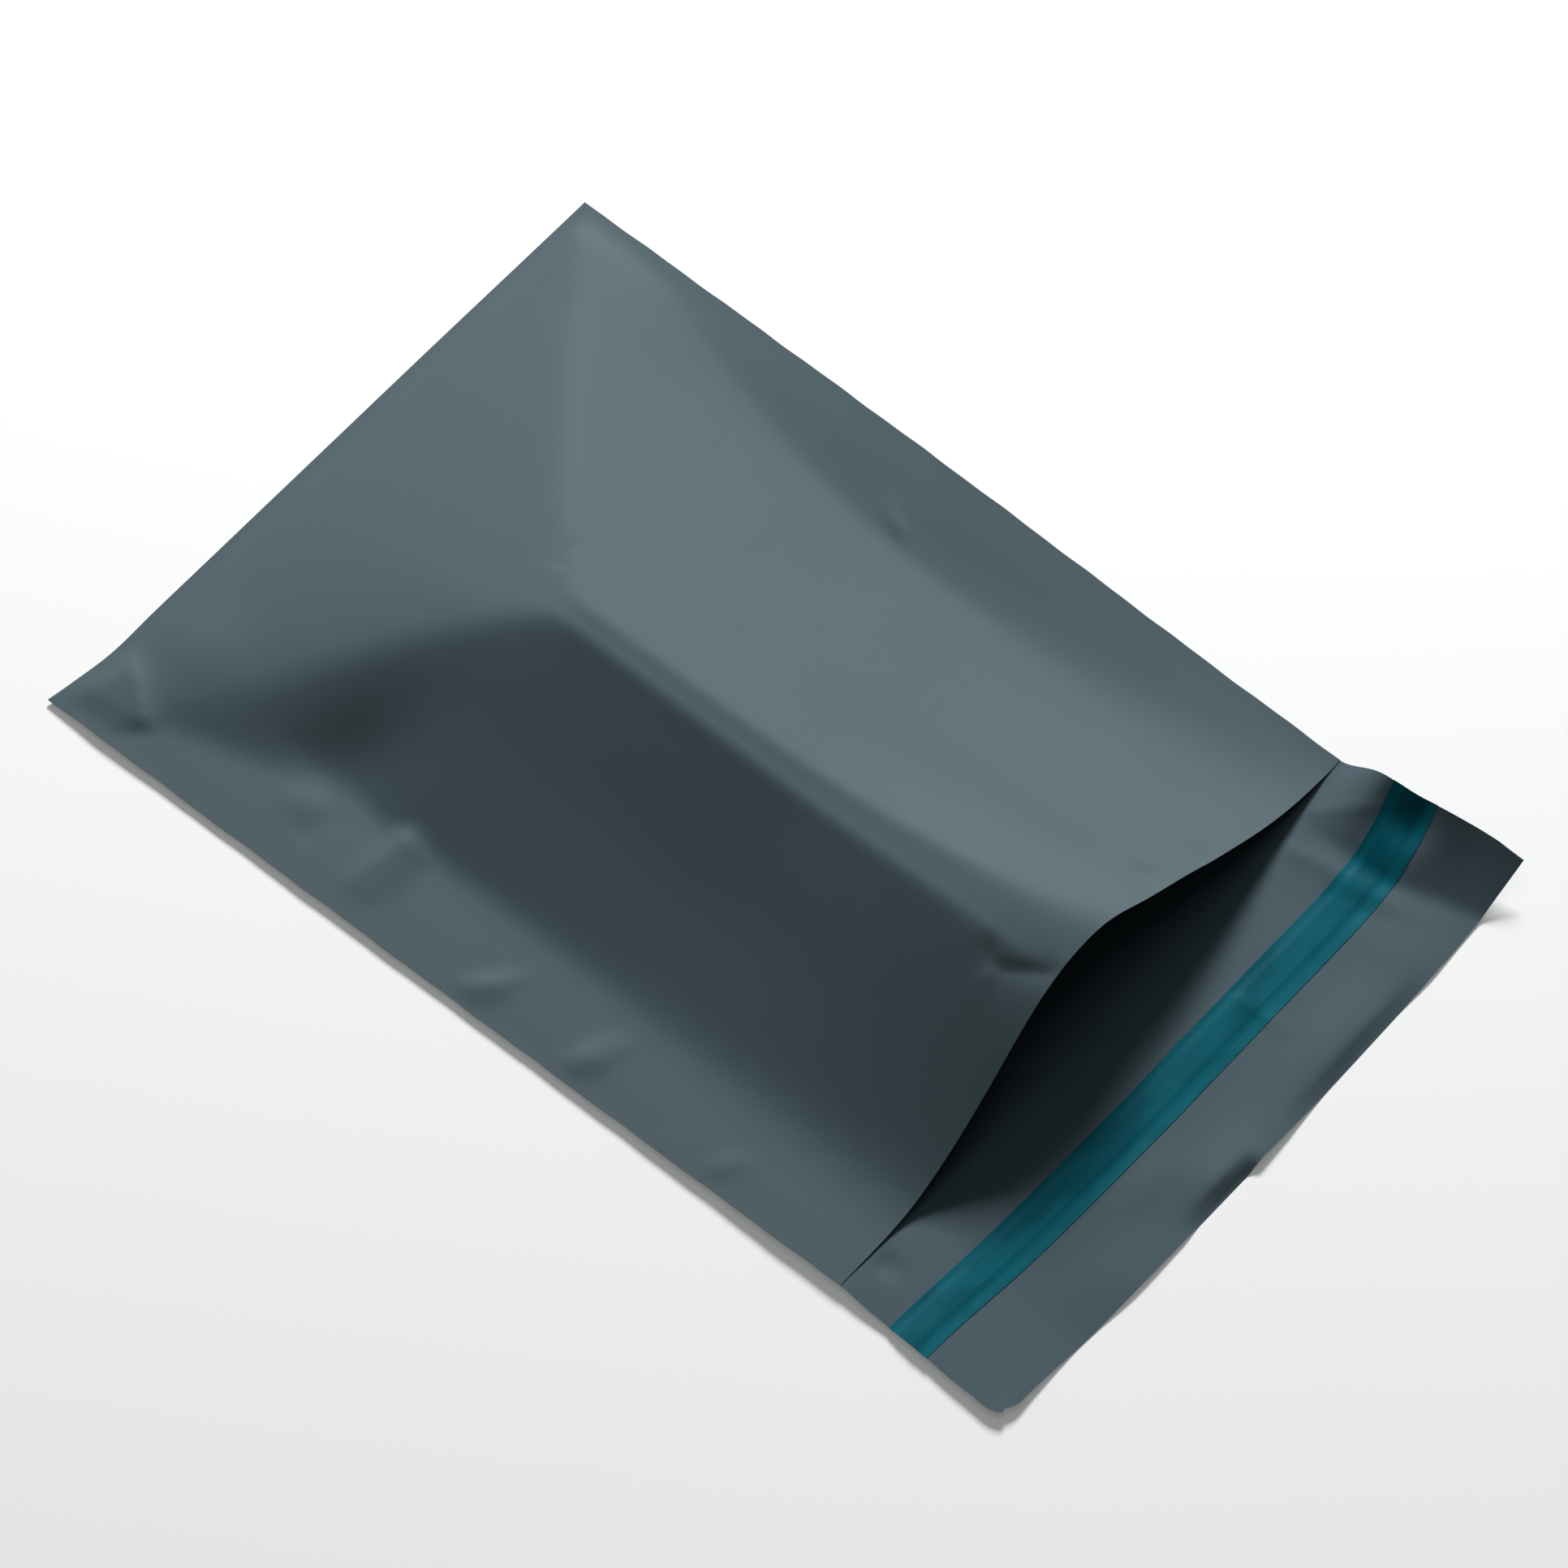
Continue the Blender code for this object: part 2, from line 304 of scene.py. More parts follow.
@dataclass
class FilmForm:
    """The shape of the film: every driving size, and where each point of the web lies.

    Courses for the feet and creases of the front panel run from the mouth, at 0, to the fold, at 1. They give
    shares of half the bag's width, and their softnesses millimetres. The hip's slope, the free edge and the
    fold's edge run across, from -1 to 1. The seams run from the lip's free edge, at -1, to the fold. The
    start of the curl runs from the mouth to the free edge. The rolls of the free edge run across in
    millimetres.
    """

    bag_width: float = 250 * MM
    body_length: float = 316 * MM
    lip_length: float = 65.5 * MM
    film: float = 0.08 * MM
    seam_gap: float = 0.14 * MM
    ridge_height: float = 30 * MM
    mouth_height: float = 37 * MM
    mouth_rise_share: float = 0.36
    corner_ear: float = 40 * MM
    hip_softness: float = 0.9 * MM
    touch_softness: float = 0.3 * MM
    crest_lean: float = 0.08
    mouth_draw_in: float = 6.4 * MM
    mouth_set_back: float = 8 * MM
    mouth_set_back_reach: float = 55 * MM
    mouth_arch_share: float = 0.45
    lip_spread: float = 2.6 * MM
    curl_knee: float = 4 * MM
    curl_knee_angle: float = math.radians(19)
    curl_end_angle: float = math.radians(27)
    curl_reach: float = 32 * MM
    curl_run_in: float = 18 * MM
    draw_in_reach: float = 56 * MM
    curl_steps: int = 16
    seam_lift_width: float = 34 * MM
    seam_lift_softness: float = 0.06
    seam_closing: float = 13 * MM
    fold_closing: float = 8 * MM
    ear_lift: float = 0.5 * MM
    edge_roll: float = 5.0 * MM
    edge_rolls: tuple[Course, ...] = (
        Course(((-40.0, 0.0), (-33.0, 1.0), (-12.0, 1.0), (-5.0, 0.0))),
        Course(((8.0, 0.0), (28.0, 1.0), (60.0, 1.0), (78.0, 0.0))),
    )
    corner_round: float = 9 * MM
    fold_edge_reach: float = 79 * MM
    seam_waver: float = 0.30 * MM
    waver_waves: tuple[tuple[float, float, float], ...] = ((0.6, 5.9 * MM, 0.0), (0.4, 2.7 * MM, 2.0))
    waver_side_shift: float = 40 * MM
    waver_fade_power: int = 12
    # How far off the points are that give the lip's slope: a share of its half width, and along.
    probe_across: float = 0.004
    probe_along: float = 0.5 * MM
    left_crease: Course = Course(((0.0, -0.12), (0.1, -0.10), (0.3, -0.095), (0.68, -0.095), (1.0, -0.095)))
    right_crease: Course = Course(
        ((0.0, 0.10), (0.1, 0.04), (0.25, 0.0), (0.4, -0.02), (0.68, -0.03), (1.0, -0.03))
    )
    left_foot: Course = Course(
        (
            (0.0, -0.685), (0.15, -0.685), (0.27, -0.69), (0.40, -0.70), (0.55, -0.71), (0.635, -0.72),
            (0.72, -0.745), (0.80, -0.79), (0.88, -0.855), (0.911, -0.888), (1.0, -1.0),
        )
    )
    right_foot: Course = Course(
        (
            (0.0, 0.80), (0.06, 0.775), (0.12, 0.755), (0.22, 0.725), (0.32, 0.705), (0.42, 0.70),
            (0.51, 0.715), (0.64, 0.767), (0.76, 0.843), (0.87, 0.935), (1.0, 1.0),
        )
    )
    hip_slope: Course = Course(
        (
            (-1.0, 0.0), (-0.89, 0.025), (-0.78, 0.095), (-0.62, 0.16), (-0.48, 0.208), (-0.3, 0.248),
            (-0.12, 0.268), (1.0, 0.27),
        )
    )
    crease_softness: Course = Course(((0.0, 2.2), (0.12, 0.8), (0.3, 0.35), (0.68, 0.3), (1.0, 0.5)))
    foot_softness: Course = Course(((0.0, 3.4), (0.2, 2.2), (0.45, 1.0), (0.7, 0.7), (1.0, 0.8)))
    curl_start: Course = Course(((0.0, 92.0), (0.38, 92.5), (0.58, 93.5), (0.76, 97.0), (1.0, 101.0)))
    free_edge: Course = Course(
        (
            (-1.0, -1.5), (-0.9, -1.6), (-0.8, -1.0), (-0.68, 0.0), (-0.5, 0.9), (-0.2, 1.6), (0.1, 2.2),
            (0.5, 2.2), (0.7, 1.8), (0.85, 1.0), (1.0, 0.9),
        )
    )
    fold_edge: Course = Course(
        (
            (-1.0, 0.9), (-0.93, -0.3), (-0.8, -1.9), (-0.65, -1.4), (-0.4, -1.0), (0.0, -0.4), (0.4, 0.2),
            (1.0, 0.7),
        )
    )
    left_seam: Course = Course(
        (
            (-1.0, 2.8), (-0.8, 2.6), (-0.5, 2.3), (-0.3, 1.8), (0.0, 2.7), (0.2, 2.1),
            (0.45, 1.6), (0.65, 1.7), (0.8, 1.5), (0.87, 1.7), (0.93, 1.7), (1.0, 0.6),
        )
    )
    right_seam: Course = Course(
        ((-1.0, 1.6), (0.0, 2.0), (0.16, 1.8), (0.28, 2.4), (0.46, 3.2), (0.6, 3.0), (0.8, 1.8), (1.0, 0.2))
    )
    front_marks: dict[str, Mark] = field(
        default_factory=lambda: {
            "crease beside the hip point": Crease(
                (1, 217), (14, 221), height=-0.5, left_reach=3, right_reach=1.8, fade_in=0.3, fade_out=0.3
            ),
            "swell outside the corner's tuck": Crease(
                (-92.5, 316), (-112.5, 287.5), height=1.7, left_reach=2.6, right_reach=24, fade_in=0.5,
                fade_out=0.1
            ),
            "swell inside that tuck": Dimple(-83, 293, 14, 16, turn=-30, height=1.2),
            "hollow in the left slope": Dimple(-86, 230, 19, 17, turn=-8, height=-2.7, lean=0.45),
            "swell under that hollow": Dimple(-97, 230, 11, 11, turn=-20, height=1.6),
            "crease under that swell": Crease(
                (-92, 219.5), (-111.5, 223), height=-1.0, left_reach=3, right_reach=6, fade_in=0.5,
                fade_out=0.1
            ),
            "left edge of the crest": Crease(
                (-11.4, 216), (-11.4, 14), height=0.5, left_reach=1.8, right_reach=6, fade_in=0.1,
                fade_out=0.1
            ),
            "lower lump": Peak(
                (-91, 199),
                ((-84, 198), (-88, 206), (-119, 205), (-121, 196), (-110, 187), (-90, 187)),
                height=2.4, softness=2.2,
            ),
            "buckle in the right slope": Buckle((91, 150.5), heading=62, spread=13, reach=9, height=0.8),
            "start of the fold into the mouth": Crease(
                (-12.5, 30), (-19.8, 20), height=-0.9, left_reach=2, right_reach=3, fade_in=0.6, fade_out=0.1
            ),
            "fold into the mouth": Crease(
                (-20, 21), (-10.5, 1), height=-1.2, left_reach=2.2, right_reach=4.5, fade_in=0.2,
                fade_out=0.2
            ),
            "pucker by the left seam": Peak(
                (-119, 150),
                ((-97, 136), (-100, 144), (-118, 158), (-124, 150), (-119, 139)),
                height=2.2, softness=2.4,
            ),
            "second pucker": Peak(
                (-117, 108),
                ((-94, 98), (-96, 108), (-117, 115), (-124, 108), (-117, 98)),
                height=2.0, softness=2.4,
            ),
            "third pucker": Peak(
                (-119, 70),
                ((-111, 63), (-112, 72), (-119, 76), (-123, 69), (-118, 61)),
                height=1.2, softness=1.6,
            ),
            "lowest pucker": Peak(
                (-117, 54),
                ((-102, 46), (-104, 54), (-117, 60), (-123, 54), (-117, 46)),
                height=1.5, softness=2.2,
            ),
            "sag of the left slope": Dimple(-52, 120, 24, 95, turn=0, height=-1.2),
            "streak beside the crest": Dimple(27, 28, 12, 75, turn=3, height=-2.0),
            "pucker in the mouth's edge": Buckle((36, 16), heading=-75, spread=26, reach=7, height=-0.5),
            "second pucker there": Buckle((56, 12), heading=-80, spread=26, reach=7, height=-0.4),
        }
    )
    lip_waves: dict[str, Mark] = field(
        default_factory=lambda: {
            "middle wave": Dimple(-17, -63, 19, 13, turn=0, height=2.8, lean=0.25),
            "left wave": Dimple(-60, -65.5, 20, 18, turn=0, height=1.2, lean=0.2),
            "swell inside the rolled edge": Dimple(42, -58, 34, 12, turn=0, height=2.2),
            "right swell": Dimple(80, -50, 12, 14, turn=0, height=1.0),
        }
    )
    lip_marks: dict[str, Mark] = field(
        default_factory=lambda: {
            "crease by the mouth's right end": Crease(
                (97, -2), (112, -20), height=0.5, left_reach=1.6, right_reach=1.8, fade_in=0.2, fade_out=0.3
            ),
            "fold before the curl": Crease(
                (83, -2), (88, -24), height=0.9, left_reach=6, right_reach=5, fade_in=0.3, fade_out=0.3
            ),
            "hollow in the curl": Dimple(114, -30, 9, 8, turn=0, height=-2.4),
            "crease in the shade": Crease(
                (-14, -1), (-1, -9.5), height=1.3, left_reach=1.6, right_reach=3, fade_in=0.3, fade_out=0.3
            ),
            "kink under the liner": Crease(
                (33, -24), (34, -44), height=0.35, left_reach=4, right_reach=2, fade_in=0.2
            ),
            "second kink there": Crease(
                (76, -22), (83, -37), height=-0.5, left_reach=2, right_reach=3, fade_in=0.3
            ),
            "roll before the knee": Dimple(88, -34, 4, 14, turn=10, height=0.7),
            "sag beside the liner": Dimple(-35, -45, 14, 6, turn=0, height=0.5),
            "notch at the mouth's left end": Dimple(-104, -5, 4, 6, turn=0, height=-0.8),
        }
    )

    @property
    def half(self) -> float:
        """Half the bag's width as cut."""
        return self.bag_width / 2

    @property
    def shift(self) -> float:
        """The mouth line's distance in front of the frame's origin."""
        return (self.body_length - self.lip_length) / 2

    def half_width(self, along: float) -> float:
        """Gives the side seam's distance from the middle.

        Args:
            along: The distance from the mouth line, negative on the lip.

        Returns:
            The distance from the middle there.
        """
        if along >= 0:
            return self.half - self.mouth_draw_in * (1 - along / self.body_length)
        return self.half - self.mouth_draw_in - self.lip_spread * along / self.lip_length

    def waver(self, u: float, along: float) -> float:
        """Gives the small unevenness of the hot-knife cut along the side seams.

        Args:
            u: The place across, from -1 to 1.
            along: The distance from the mouth line.

        Returns:
            How far the film moves across.
        """
        run = along + (self.waver_side_shift if u > 0 else 0.0)
        wave = sum(share * math.sin(run / length + phase) for share, length, phase in self.waver_waves)
        return -math.copysign(self.seam_waver * (1 + wave) / 2, u) * abs(u) ** self.waver_fade_power

    def seam_lift(self, u: float, along: float) -> float:
        """Gives how far the back film stands off the table because its side seam does.

        Args:
            u: The place across, from -1 to 1.
            along: The distance from the mouth line, negative on the lip.

        Returns:
            The height off the table.
        """
        share = along / self.body_length if along >= 0 else along / self.lip_length
        course = self.left_seam if u < 0 else self.right_seam
        inward = (1 - abs(u)) * self.half_width(along)
        near_seam = above_ground(1 - inward / self.seam_lift_width, self.seam_lift_softness)
        return course.at(share) * MM * near_seam

    def drawn(self, u: float, along: float) -> float:
        """Gives where a row of the web really runs, since the free edge and the fold aren't quite straight.

        Args:
            u: The place across, from -1 to 1.
            along: The row's distance from the mouth line, negative on the lip.

        Returns:
            Its true distance at that place across.
        """
        if along < 0:
            return along - self.free_edge.at(u) * MM * ease(-along / self.lip_length)
        near_fold = ease(1 - (self.body_length - along) / self.fold_edge_reach)
        return along + self.fold_edge.at(u) * MM * near_fold

    def back_point(self, u: float, along: float) -> Vector:
        """Places a point of the back panel's inner face.

        Args:
            u: The place across, from -1 at the left seam to 1 at the right one.
            along: The distance from the mouth line.

        Returns:
            The point, with Y still measured from the mouth line.
        """
        x = u * self.half_width(along)
        round_the_corner = x + self.half + self.body_length - along
        ear = self.ear_lift * ease(1 - round_the_corner / self.corner_ear)
        return Vector((x, self.drawn(u, along), self.film + self.seam_lift(u, along) + ear))

    def curl(self, into: float, grown: float) -> tuple[float, float]:
        """Follows the lip's film into its turned-up right end, which starts at a sharp knee.

        Args:
            into: How far the film runs on past the start of the knee.
            grown: The share of the full turn that it has at this distance from the mouth.

        Returns:
            How far that takes it across and up.
        """
        across = up = 0.0
        step = into / self.curl_steps
        for k in range(self.curl_steps):
            run = (k + 0.5) * step
            angle = self.curl_knee_angle * ease(run / self.curl_knee)
            angle += (self.curl_end_angle - self.curl_knee_angle) * run / self.curl_reach
            across += step * math.cos(angle * grown)
            up += step * math.sin(angle * grown)
        return across, up

    def lip_point(self, u: float, along: float) -> Vector:
        """Places a point of the lip's upper face, which curls up at its right end.

        Args:
            u: The place across, from -1 to 1.
            along: The distance from the mouth line, negative on the lip.

        Returns:
            The point, with Y still measured from the mouth line.
        """
        grown = ease(-along / self.curl_run_in)
        right = self.half - self.mouth_draw_in * max(1 + along / self.draw_in_reach, 0.0)
        x = u * (right if u > 0 else self.half_width(along))
        out = -along / self.lip_length
        z = self.seam_lift(u, along) + out * lifted(self.lip_waves, x, along)
        z += lifted(self.lip_marks, x, along) * ease(-along / self.edge_roll)
        rolled = max(roll.at(x / MM) for roll in self.edge_rolls)
        z *= 1 - rolled * ease(1 - (self.lip_length + along) / self.edge_roll)
        into_curl = x - self.curl_start.at(out) * MM
        if into_curl > 0:
            across, up = self.curl(into_curl, grown)
            x += across - into_curl
            z += up
        x, along = self.rounded_corner(x, self.drawn(u, along))
        return Vector((x, along, self.film + max(z, 0.0)))

    def rounded_corner(self, x: float, along: float) -> tuple[float, float]:
        """Draws the lip's left corner in, because it rolls under where it was handled.

        Args:
            x: A point's place across the bag.
            along: Its distance from the mouth line.

        Returns:
            The same two, drawn in where they are near that corner.
        """
        a = 1 - (x + self.half_width(along)) / self.corner_round
        b = 1 - (along + self.lip_length) / self.corner_round
        if a <= 0 or b <= 0:
            return x, along
        pull = (1 - max(a, b) / math.hypot(a, b)) * self.corner_round
        return x + a * pull, along + b * pull

    def roof_height(self, x: float, along: float) -> float:
        """Gives how far the front film stands above the back film: two slopes, a flat crest and a hip.

        Args:
            x: The place across the bag.
            along: The distance from the mouth line.

        Returns:
            The height, with the slopes' feet rounded into the ground.
        """
        share = along / self.body_length
        foot, crease = self.left_foot.at(share) * self.half, self.left_crease.at(share) * self.half
        far_crease, far_foot = self.right_crease.at(share) * self.half, self.right_foot.at(share) * self.half
        rise = (self.mouth_height - self.ridge_height) * (1 - ease(share / self.mouth_rise_share))
        top = self.ridge_height + rise
        crest = top + self.crest_lean * (x - far_crease)
        near = (top - self.crest_lean * (far_crease - crease)) * (x - foot) / (crease - foot)
        far = top * (far_foot - x) / (far_foot - far_crease)
        section = lowest((near, crest, far), self.crease_softness.at(share) * MM)
        hip = self.hip_slope.at(x / self.half) * (self.body_length - along)
        return above_ground(lowest((section, hip), self.hip_softness), self.foot_softness.at(share) * MM)

    def front_point(self, u: float, along: float) -> Vector:
        """Places a point of the front panel's inner face.

        Args:
            u: The place across, from -1 at the left seam to 1 at the right one.
            along: The distance from the mouth line, before the arch draws it back.

        Returns:
            The point, with Y still measured from the mouth line.
        """
        back = self.back_point(u, along)
        roof = self.roof_height(back.x, along) + lifted(self.front_marks, back.x, along)
        inward = (1 - abs(u)) * self.half_width(along)
        closing = ease(inward / self.seam_closing) * ease((self.body_length - along) / self.fold_closing)
        gap = self.seam_gap + closing * above_ground(roof, self.touch_softness)
        arch = math.exp(-((u / self.mouth_arch_share) ** 2)) * math.exp(-along / self.mouth_set_back_reach)
        set_back = self.mouth_set_back * arch * (1 - along / self.body_length)
        return Vector((back.x, back.y + set_back, back.z + gap))

    def above_lip(self, u: float, along: float, height: float) -> Vector:
        """Places a point above the lip's film, measured square to it.

        Args:
            u: The place across, from -1 to 1.
            along: The distance from the mouth line, negative on the lip.
            height: The distance from the film's upper face.

        Returns:
            The point in the row's frame.
        """
        du, step = self.probe_across, self.probe_along
        across = self.lip_point(u + du, along) - self.lip_point(u - du, along)
        up_the_lip = self.lip_point(u, along + step) - self.lip_point(u, along - step)
        return self.placed(self.lip_point(u, along) + across.cross(up_the_lip).normalized() * height)

    def placed(self, point: Vector) -> Vector:
        """Moves a point whose Y is measured from the mouth line into the row's frame."""
        return Vector((point.x, point.y - self.shift, point.z))


class Wire:
    """One node output. Arithmetic on it adds the Math nodes that work the value out."""

    def __init__(self, bench: Bench, socket: bpy.types.NodeSocket) -> None:
        """Wraps a node's output socket.

        Args:
            bench: The material whose tree the socket is in.
            socket: The output socket.
        """
        self.bench = bench
        self.socket = socket

    def _math(self, operation: str, a: Wire | float, b: Wire | float = 0.0) -> Wire:
        """Adds one Math node on two values."""
        return self.bench.node("ShaderNodeMath", {"operation": operation}, {0: a, 1: b})

    def __add__(self, other: Wire | float) -> Wire:
        """Adds a value."""
        return self._math("ADD", self, other)

    __radd__ = __add__

    def __sub__(self, other: Wire | float) -> Wire:
        """Takes a value away."""
        return self._math("SUBTRACT", self, other)

    def __rsub__(self, other: Wire | float) -> Wire:
        """Takes this away from a value."""
        return self._math("SUBTRACT", other, self)

    def __mul__(self, other: Wire | float) -> Wire:
        """Multiplies by a value."""
        return self._math("MULTIPLY", self, other)

    __rmul__ = __mul__

    def distance_to(self, other: Wire | float) -> Wire:
        """Gives how far this is from a value, without its sign."""
        return self._math("ABSOLUTE", self - other)

    def step(self, low: float, high: float) -> Wire:
        """Gives a smooth step, 0 at low and 1 at high, which may be below low."""
        inputs = {"Value": self, "From Min": low, "From Max": high}
        return self.bench.node("ShaderNodeMapRange", {"interpolation_type": "SMOOTHSTEP"}, inputs)


class Bench:
    """The node tree of one material, with the Principled shader that it ends in."""

    MIX_LOW, MIX_HIGH, MIX_RESULT = 6, 7, 2

    def __init__(self, name: str) -> None:
        """Makes an empty material.

        Args:
            name: The material's name.
        """
        self.material = bpy.data.materials.new(name)
        self.material.use_nodes = True
        self.tree = self.material.node_tree
        self.shader = self.tree.nodes["Principled BSDF"]

    def node(
        self,
        kind: str,
        settings: dict[str, object] | None = None,
        inputs: dict[str | int, object] | None = None,
        output: str | int = 0,
    ) -> Wire:
        """Adds a node, sets it up and feeds it.

        Args:
            kind: The node's type.
            settings: The node's own properties, which are set first.
            inputs: A value or a Wire for each input that is named or numbered.
            output: The output to hand back.

        Returns:
            The chosen output.
        """
        made = self.tree.nodes.new(kind)
        for key, value in (settings or {}).items():
            setattr(made, key, value)
        for key, value in (inputs or {}).items():
            self.feed(made.inputs[key], value)
        return Wire(self, made.outputs[output])

    def feed(self, socket: bpy.types.NodeSocket, value: object) -> None:
        """Links a Wire to an input, or sets the input's own value. A colour gets its alpha here.

        Args:
            socket: The input.
            value: The Wire, number, vector or colour for it.
        """
        if isinstance(value, Wire):
            self.tree.links.new(value.socket, socket)
        elif socket.type == "RGBA":
            socket.default_value = (*value, 1.0)
        else:
            socket.default_value = value

    def coordinates(self) -> Wire:
        """Gives the object coordinates, which are the row's frame in metres."""
        return self.node("ShaderNodeTexCoord", output="Object")

    def stretched(self, place: Wire, scale: tuple[float, float, float], turn: float = 0.0) -> Wire:
        """Scales coordinates along X, Y and Z, after a turn about Z in degrees."""
        inputs = {"Vector": place, "Scale": scale, "Rotation": (0.0, 0.0, math.radians(turn))}
        return self.node("ShaderNodeMapping", None, inputs)

    def noise(self, place: Wire, scale: float = 1.0, detail: float = 2.0, rough: float = 0.5) -> Wire:
        """Gives plain noise, around a half, at so many cells a metre."""
        inputs = {"Vector": place, "Scale": scale, "Detail": detail, "Roughness": rough}
        return self.node("ShaderNodeTexNoise", None, inputs)

    def blend(self, share: Wire | float, low: Color | Wire, high: Color | Wire) -> Wire:
        """Mixes two colours."""
        inputs = {0: share, self.MIX_LOW: low, self.MIX_HIGH: high}
        return self.node("ShaderNodeMix", {"data_type": "RGBA"}, inputs, self.MIX_RESULT)

    def bump(self, height: Wire, distance: float) -> None:
        """Feeds a height to the shader's normal, through one Bump node."""
        self.set(Normal=self.node("ShaderNodeBump", None, {"Height": height, "Distance": distance}))

    def set(self, **values: object) -> None:
        """Sets or links the shader's inputs, named with _ for a space."""
        for key, value in values.items():
            self.feed(self.shader.inputs[key.replace("_", " ")], value)


@dataclass(frozen=True)
class FilmFinish:
    """Satin polyethylene film: its colour, how it shines, and the cells a metre of its fine patterns."""

    name: str
    color: Color
    deep: Color
    roughness: float
    specular: float
    clouds: float = 14.0
    grain: tuple[float, float, float] = (90.0, 900.0, 400.0)
    peel: float = 420.0
    scuffs: tuple[float, float, float] = (30.0, 260.0, 60.0)
    scuff_turn: float = 31.0
    scuff_edge: tuple[float, float] = (0.60, 0.72)
    relief: float = 0.02 * MM

    def build(self) -> bpy.types.Material:
        """Makes the film's material, with faint flow lines, clouding and handling scuffs.

        Returns:
            The material.
        """
        bench = Bench(self.name)
        place = bench.coordinates()
        clouds = bench.noise(place, self.clouds)
        grain = bench.noise(bench.stretched(place, self.grain))
        peel = bench.noise(place, self.peel, rough=0.6)
        scuffs = bench.noise(bench.stretched(place, self.scuffs, self.scuff_turn), detail=4.0, rough=0.7)
        scuffs = scuffs.step(*self.scuff_edge)
        bench.set(
            Base_Color=bench.blend(clouds * 0.7 + grain * 0.3, self.deep, self.color),
            Roughness=self.roughness + (clouds - 0.5) * 0.10 + scuffs * 0.05,
            Specular_IOR_Level=self.specular,
        )
        bench.bump(peel * 0.5 + grain * 0.35 + scuffs * 0.25, self.relief)
        return bench.material


@dataclass(frozen=True)
class LinerFinish:
    """The teal release film, which the adhesive wets out in patches."""

    name: str
    dry: Color
    wet: Color
    lift_band: Color
    roughness: float
    specular: float = 0.03
    patches: tuple[float, float, float] = (34.0, 80.0, 1.0)
    patch_edge: tuple[float, float] = (0.42, 0.60)
    streaks: tuple[float, float, float] = (60.0, 420.0, 1.0)
    line_edge: float = 0.05 * MM
    outer_line: float = 0.40 * MM
    inner_line: float = 0.35 * MM
    band_edge: tuple[float, float] = (-0.5 * MM, 1.5 * MM)
    relief: float = 0.03 * MM

    def build(self, strip: SealingStrip) -> bpy.types.Material:
        """Makes the liner's material on its UV map: metres across the lip, and from the liner's inner edge.

        Args:
            strip: The strip, for where the bead lies under the liner.

        Returns:
            The material.
        """
        bench = Bench(self.name)
        flat = bench.node("ShaderNodeUVMap", {"uv_map": "strip"})
        from_edge = bench.node("ShaderNodeSeparateXYZ", None, {0: flat}, 1)
        patches = bench.noise(bench.stretched(flat, self.patches)).step(*self.patch_edge)
        streaks = bench.noise(bench.stretched(flat, self.streaks))
        low, high = strip.bead_from_edge, strip.bead_from_edge + strip.bead_width
        outer = from_edge.step(high + self.band_edge[0], high + self.band_edge[1])
        line = from_edge.distance_to(high).step(self.outer_line, self.line_edge)
        line = line + 0.4 * from_edge.distance_to(low).step(self.inner_line, self.line_edge)
        stuck = bench.blend(patches, self.dry, self.wet)
        shade = bench.blend(outer * (0.8 - 0.35 * patches), stuck, self.lift_band)
        bench.set(
            Base_Color=bench.blend(line * 0.6, shade, self.wet),
            Roughness=self.roughness + (streaks - 0.5) * 0.12,
            Specular_IOR_Level=self.specular,
        )
        bench.bump(streaks * 0.4 - line * 0.5, self.relief)
        return bench.material


@dataclass(frozen=True)
class AdhesiveFinish:
    """Clear amber hot-melt adhesive."""

    name: str
    color: Color
    roughness: float
    coat: float = 0.3
    deep_share: float = 0.8
    ribs: tuple[float, float, float] = (40.0, 1500.0, 200.0)
    relief: float = 0.03 * MM

    def build(self) -> bpy.types.Material:
        """Makes the adhesive's material, with the fine ribs that the slot nozzle leaves.

        Returns:
            The material.
        """
        bench = Bench(self.name)
        ribs = bench.noise(bench.stretched(bench.coordinates(), self.ribs))
        deep = tuple(c * self.deep_share for c in self.color)
        bench.set(
            Base_Color=bench.blend(ribs, deep, self.color), Roughness=self.roughness, Coat_Weight=self.coat
        )
        bench.bump(ribs, self.relief)
        return bench.material


